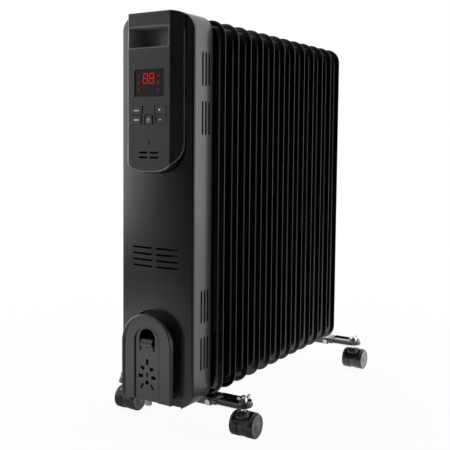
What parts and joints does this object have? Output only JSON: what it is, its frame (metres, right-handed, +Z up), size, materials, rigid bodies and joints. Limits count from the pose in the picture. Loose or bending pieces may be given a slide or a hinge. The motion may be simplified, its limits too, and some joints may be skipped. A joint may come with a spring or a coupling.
{
  "type": "oil filled radiator heater",
  "caption": "Oil filled electric radiator with pressed oil fins, a digital control cover with a cord winder, and fold-down feet on twin-wheel castors.",
  "frame": {"origin": "on the floor, under the middle of the heater's bounding box", "axes": "+Z up; the control panel faces -Y and the fins stack along +Y; +X is to the right of someone who looks at the panel"},
  "size_m": [0.2676, 0.5626, 0.6425],
  "materials": {
    "fin_paint": "gloss black enamel",
    "element_steel": "plain steel",
    "gasket_rubber": "matt",
    "cover_front": "satin charcoal",
    "cover_side": "satin dark grey",
    "zinc_steel": "zinc plated",
    "panel": "gloss near-black",
    "recess": "matt near-black",
    "window": "gloss black, dark red when lit",
    "module": "matt dark grey",
    "board": "green solder mask",
    "winder": "satin dark grey",
    "key": "gloss near-black",
    "foot_paint": "satin black enamel",
    "bright_metal": "bright plated",
    "castor_hood": "satin black",
    "castor_wheel": "satin black with grey faces"
  },
  "bodies": {
    "heater": {"fin_01": "fin_paint", "fin_02": "fin_paint", "fin_03": "fin_paint", "fin_04": "fin_paint", "fin_05": "fin_paint", "fin_06": "fin_paint", "fin_07": "fin_paint", "fin_08": "fin_paint", "fin_09": "fin_paint", "fin_10": "fin_paint", "fin_11": "fin_paint", "fin_12": "fin_paint", "upper_header_collars": "fin_paint", "lower_header_collars": "fin_paint", "header_end_caps": "fin_paint", "heating_element": "element_steel", "element_gasket": "gasket_rubber", "front_fascia": "cover_front", "side_housing": "cover_side", "mounting_plate": "foot_paint", "mounting_straps": "fin_paint", "cover_screws": "zinc_steel", "control_bezel": "panel", "grip_pocket": "recess", "display_window": "window", "display_module": "module", "control_board": "board", "power_board": "board", "ir_window": "window", "cord_bay": "recess", "cord_winder": "winder", "cord_gland": "recess", "tip_switch": "module", "thermal_cutout": "module", "front_foot_bracket": "foot_paint", "rear_foot_bracket": "foot_paint", "arm_pivot_pins": "zinc_steel", "header_u_bolts": "zinc_steel", "u_bolt_nuts": "zinc_steel"},
    "front_left_arm": {"front_left_foot_arm": "foot_paint", "front_left_castor_fixing": "bright_metal"},
    "front_left_hood": {"front_left_castor_hood": "castor_hood"},
    "front_left_wheels": {"front_left_castor_wheels": "castor_wheel"},
    "front_right_arm": {"front_right_foot_arm": "foot_paint", "front_right_castor_fixing": "bright_metal"},
    "front_right_hood": {"front_right_castor_hood": "castor_hood"},
    "front_right_wheels": {"front_right_castor_wheels": "castor_wheel"},
    "rear_left_arm": {"rear_left_foot_arm": "foot_paint", "rear_left_castor_fixing": "bright_metal"},
    "rear_left_hood": {"rear_left_castor_hood": "castor_hood"},
    "rear_left_wheels": {"rear_left_castor_wheels": "castor_wheel"},
    "rear_right_arm": {"rear_right_foot_arm": "foot_paint", "rear_right_castor_fixing": "bright_metal"},
    "rear_right_hood": {"rear_right_castor_hood": "castor_hood"},
    "rear_right_wheels": {"rear_right_castor_wheels": "castor_wheel"},
    "left_upper_key": {"left_upper_key": "key"},
    "left_lower_key": {"left_lower_key": "key"},
    "right_upper_key": {"right_upper_key": "key"},
    "right_lower_key": {"right_lower_key": "key"},
    "power_key": {"power_key": "key"}
  },
  "joints": [
    {"name": "left_upper_key_press", "type": "slide", "parent": "heater", "child": "left_upper_key", "axis": [0, 1, 0], "range_m": [0, 0.0008], "stiffness_N_per_m": 300, "springref_m": -0.002},
    {"name": "left_lower_key_press", "type": "slide", "parent": "heater", "child": "left_lower_key", "axis": [0, 1, 0], "range_m": [0, 0.0008], "stiffness_N_per_m": 300, "springref_m": -0.002},
    {"name": "right_upper_key_press", "type": "slide", "parent": "heater", "child": "right_upper_key", "axis": [0, 1, 0], "range_m": [0, 0.0008], "stiffness_N_per_m": 300, "springref_m": -0.002},
    {"name": "right_lower_key_press", "type": "slide", "parent": "heater", "child": "right_lower_key", "axis": [0, 1, 0], "range_m": [0, 0.0008], "stiffness_N_per_m": 300, "springref_m": -0.002},
    {"name": "power_key_press", "type": "slide", "parent": "heater", "child": "power_key", "axis": [0, 1, 0], "range_m": [0, 0.0008], "stiffness_N_per_m": 300, "springref_m": -0.002},
    {"name": "front_left_arm_fold", "type": "hinge", "parent": "heater", "child": "front_left_arm", "pos_m": [-0.06, -0.18435, 0.051], "axis": [0, -1, 0], "range_deg": [0, 90]},
    {"name": "front_left_swivel", "type": "hinge", "parent": "front_left_arm", "child": "front_left_hood", "pos_m": [-0.1138, -0.18435, 0.042], "axis": [0, 0, 1], "continuous": true},
    {"name": "front_left_roll", "type": "hinge", "parent": "front_left_hood", "child": "front_left_wheels", "pos_m": [-0.1138, -0.17635, 0.019], "axis": [1, 0, 0], "continuous": true},
    {"name": "front_right_arm_fold", "type": "hinge", "parent": "heater", "child": "front_right_arm", "pos_m": [0.06, -0.18435, 0.051], "axis": [0, 1, 0], "range_deg": [0, 90]},
    {"name": "front_right_swivel", "type": "hinge", "parent": "front_right_arm", "child": "front_right_hood", "pos_m": [0.1138, -0.18435, 0.042], "axis": [0, 0, 1], "continuous": true},
    {"name": "front_right_roll", "type": "hinge", "parent": "front_right_hood", "child": "front_right_wheels", "pos_m": [0.1138, -0.17635, 0.019], "axis": [1, 0, 0], "continuous": true},
    {"name": "rear_left_arm_fold", "type": "hinge", "parent": "heater", "child": "rear_left_arm", "pos_m": [-0.06, 0.25365, 0.051], "axis": [0, -1, 0], "range_deg": [0, 90]},
    {"name": "rear_left_swivel", "type": "hinge", "parent": "rear_left_arm", "child": "rear_left_hood", "pos_m": [-0.1138, 0.25365, 0.042], "axis": [0, 0, 1], "continuous": true},
    {"name": "rear_left_roll", "type": "hinge", "parent": "rear_left_hood", "child": "rear_left_wheels", "pos_m": [-0.1138, 0.26165, 0.019], "axis": [1, 0, 0], "continuous": true},
    {"name": "rear_right_arm_fold", "type": "hinge", "parent": "heater", "child": "rear_right_arm", "pos_m": [0.06, 0.25365, 0.051], "axis": [0, 1, 0], "range_deg": [0, 90]},
    {"name": "rear_right_swivel", "type": "hinge", "parent": "rear_right_arm", "child": "rear_right_hood", "pos_m": [0.1138, 0.25365, 0.042], "axis": [0, 0, 1], "continuous": true},
    {"name": "rear_right_roll", "type": "hinge", "parent": "rear_right_hood", "child": "rear_right_wheels", "pos_m": [0.1138, 0.26165, 0.019], "axis": [1, 0, 0], "continuous": true}
  ]
}
